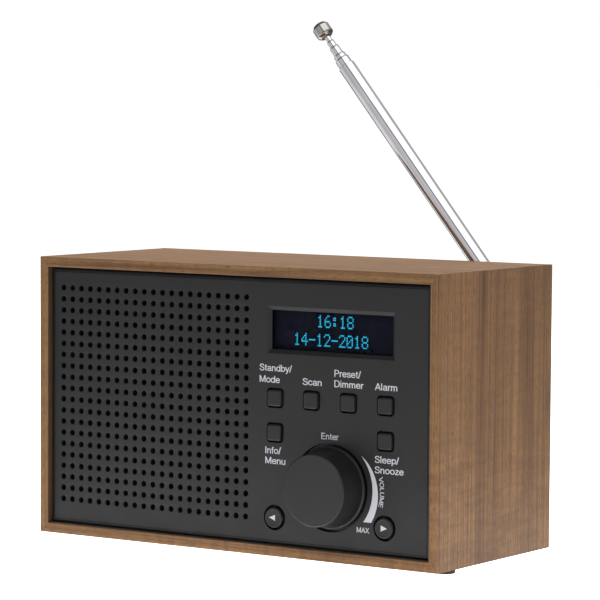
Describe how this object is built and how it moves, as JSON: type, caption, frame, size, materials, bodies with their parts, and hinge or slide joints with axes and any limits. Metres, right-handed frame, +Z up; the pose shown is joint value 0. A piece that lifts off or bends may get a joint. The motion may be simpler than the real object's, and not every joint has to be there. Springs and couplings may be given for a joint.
{
  "type": "tabletop radio",
  "caption": "Tabletop radio: a wooden sleeve round a dark front with a loudspeaker grille, display window, keys and a large knob, and a telescopic antenna on the back.",
  "frame": {"origin": "at the bottom of the feet, under the middle of the bounding box", "axes": "+Z up, the front faces -Y, +X to the right of a person facing the front"},
  "size_m": [0.186, 0.1016, 0.2064],
  "materials": {
    "walnut": "open-grained walnut veneer, satin",
    "batten_wood": "sawn softwood",
    "front_plastic": "fine-textured charcoal moulding",
    "rear_plastic": "fine-textured black moulding",
    "key_plastic": "smooth satin charcoal",
    "lens_acrylic": "polished smoked acrylic",
    "display_glass": "dark blue liquid-crystal cell",
    "board_laminate": "green solder mask",
    "foot_rubber": "matte",
    "surround_rubber": "matte",
    "antenna_chrome": "polished plating",
    "steel": "zinc plated",
    "ferrite": "dull sintered",
    "copper": "enamelled wire",
    "cone_paper": "pressed pulp",
    "spider_cloth": "resin-dipped cloth",
    "lead_insulation": "soft insulation",
    "legend_ink": "printed ink",
    "display_glow": "lit characters"
  },
  "bodies": {
    "cabinet": {"top_panel": "walnut", "bottom_panel": "walnut", "left_panel": "walnut", "right_panel": "walnut", "left_batten": "batten_wood", "right_batten": "batten_wood", "front_panel": "front_plastic", "rear_panel": "rear_plastic", "power_inlet": "rear_plastic", "headphone_socket": "rear_plastic", "display_lens": "lens_acrylic", "display_cell": "display_glass", "display_board": "board_laminate", "control_board": "board_laminate", "main_board": "board_laminate", "foot_front_left": "foot_rubber", "foot_front_right": "foot_rubber", "foot_rear_left": "foot_rubber", "foot_rear_right": "foot_rubber", "speaker_surround": "surround_rubber", "antenna_stud": "steel", "encoder_body": "steel", "speaker_basket": "steel", "speaker_yoke": "steel", "rear_screw_1": "steel", "rear_screw_2": "steel", "rear_screw_3": "steel", "rear_screw_4": "steel", "speaker_screw_1": "steel", "speaker_screw_2": "steel", "speaker_screw_3": "steel", "speaker_screw_4": "steel", "speaker_magnet": "ferrite", "speaker_spider": "spider_cloth", "board_ribbon": "lead_insulation", "speaker_lead": "lead_insulation", "antenna_lead": "lead_insulation"},
    "key_standby": {"key_standby": "key_plastic"},
    "key_scan": {"key_scan": "key_plastic"},
    "key_preset": {"key_preset": "key_plastic"},
    "key_alarm": {"key_alarm": "key_plastic"},
    "key_info": {"key_info": "key_plastic"},
    "key_sleep": {"key_sleep": "key_plastic"},
    "button_down": {"button_down": "key_plastic"},
    "button_up": {"button_up": "key_plastic"},
    "cone": {"speaker_cone": "cone_paper", "speaker_dust_cap": "cone_paper", "speaker_voice_coil": "copper"},
    "knob_press": {"encoder_plunger": "rear_plastic"},
    "knob_turn": {"knob": "key_plastic", "encoder_shaft": "steel"},
    "antenna_swivel": {"antenna_fork": "antenna_chrome", "antenna_pin": "steel"},
    "antenna_outer": {"antenna_tube_1": "antenna_chrome"},
    "antenna_section_2": {"antenna_tube_2": "antenna_chrome"},
    "antenna_section_3": {"antenna_tube_3": "antenna_chrome"},
    "antenna_section_4": {"antenna_tube_4": "antenna_chrome"},
    "antenna_section_5": {"antenna_tube_5": "antenna_chrome"},
    "antenna_rod": {"antenna_rod": "antenna_chrome", "antenna_tip": "antenna_chrome"}
  },
  "joints": [
    {"name": "key_standby_press", "type": "slide", "parent": "cabinet", "child": "key_standby", "axis": [0, 1, 0], "range_m": [0, 0.0005], "stiffness_N_per_m": 1500},
    {"name": "key_scan_press", "type": "slide", "parent": "cabinet", "child": "key_scan", "axis": [0, 1, 0], "range_m": [0, 0.0005], "stiffness_N_per_m": 1500},
    {"name": "key_preset_press", "type": "slide", "parent": "cabinet", "child": "key_preset", "axis": [0, 1, 0], "range_m": [0, 0.0005], "stiffness_N_per_m": 1500},
    {"name": "key_alarm_press", "type": "slide", "parent": "cabinet", "child": "key_alarm", "axis": [0, 1, 0], "range_m": [0, 0.0005], "stiffness_N_per_m": 1500},
    {"name": "key_info_press", "type": "slide", "parent": "cabinet", "child": "key_info", "axis": [0, 1, 0], "range_m": [0, 0.0005], "stiffness_N_per_m": 1500},
    {"name": "key_sleep_press", "type": "slide", "parent": "cabinet", "child": "key_sleep", "axis": [0, 1, 0], "range_m": [0, 0.0005], "stiffness_N_per_m": 1500},
    {"name": "button_down_press", "type": "slide", "parent": "cabinet", "child": "button_down", "axis": [0, 1, 0], "range_m": [0, 0.0005], "stiffness_N_per_m": 1500},
    {"name": "button_up_press", "type": "slide", "parent": "cabinet", "child": "button_up", "axis": [0, 1, 0], "range_m": [0, 0.0005], "stiffness_N_per_m": 1500},
    {"name": "knob_push", "type": "slide", "parent": "cabinet", "child": "knob_press", "axis": [0, 1, 0], "range_m": [0, 0.0006], "stiffness_N_per_m": 3000},
    {"name": "knob_spin", "type": "hinge", "parent": "knob_press", "child": "knob_turn", "pos_m": [0.0442, -0.045, 0.0299], "axis": [0, -1, 0], "continuous": true},
    {"name": "cone_travel", "type": "slide", "parent": "cabinet", "child": "cone", "axis": [0, -1, 0], "range_m": [-0.001, 0.001], "stiffness_N_per_m": 1200},
    {"name": "antenna_swivel_turn", "type": "hinge", "parent": "cabinet", "child": "antenna_swivel", "pos_m": [0.0705, 0.0468, 0.095], "axis": [0, 1, 0], "range_deg": [-50.6, 129.4]},
    {"name": "antenna_tilt", "type": "hinge", "parent": "antenna_swivel", "child": "antenna_outer", "pos_m": [0.0705, 0.0468, 0.095], "axis": [-0.7727, 0, -0.6347], "range_deg": [0, 90]},
    {"name": "antenna_section_2_slide", "type": "slide", "parent": "antenna_outer", "child": "antenna_section_2", "axis": [-0.6347, 0, 0.7727], "range_m": [0, 0.095]},
    {"name": "antenna_section_3_slide", "type": "slide", "parent": "antenna_section_2", "child": "antenna_section_3", "axis": [-0.6347, 0, 0.7727], "range_m": [0, 0.095]},
    {"name": "antenna_section_4_slide", "type": "slide", "parent": "antenna_section_3", "child": "antenna_section_4", "axis": [-0.6347, 0, 0.7727], "range_m": [0, 0.095]},
    {"name": "antenna_section_5_slide", "type": "slide", "parent": "antenna_section_4", "child": "antenna_section_5", "axis": [-0.6347, 0, 0.7727], "range_m": [0, 0.095]},
    {"name": "antenna_rod_slide", "type": "slide", "parent": "antenna_section_5", "child": "antenna_rod", "axis": [-0.6347, 0, 0.7727], "range_m": [0, 0.095]}
  ]
}
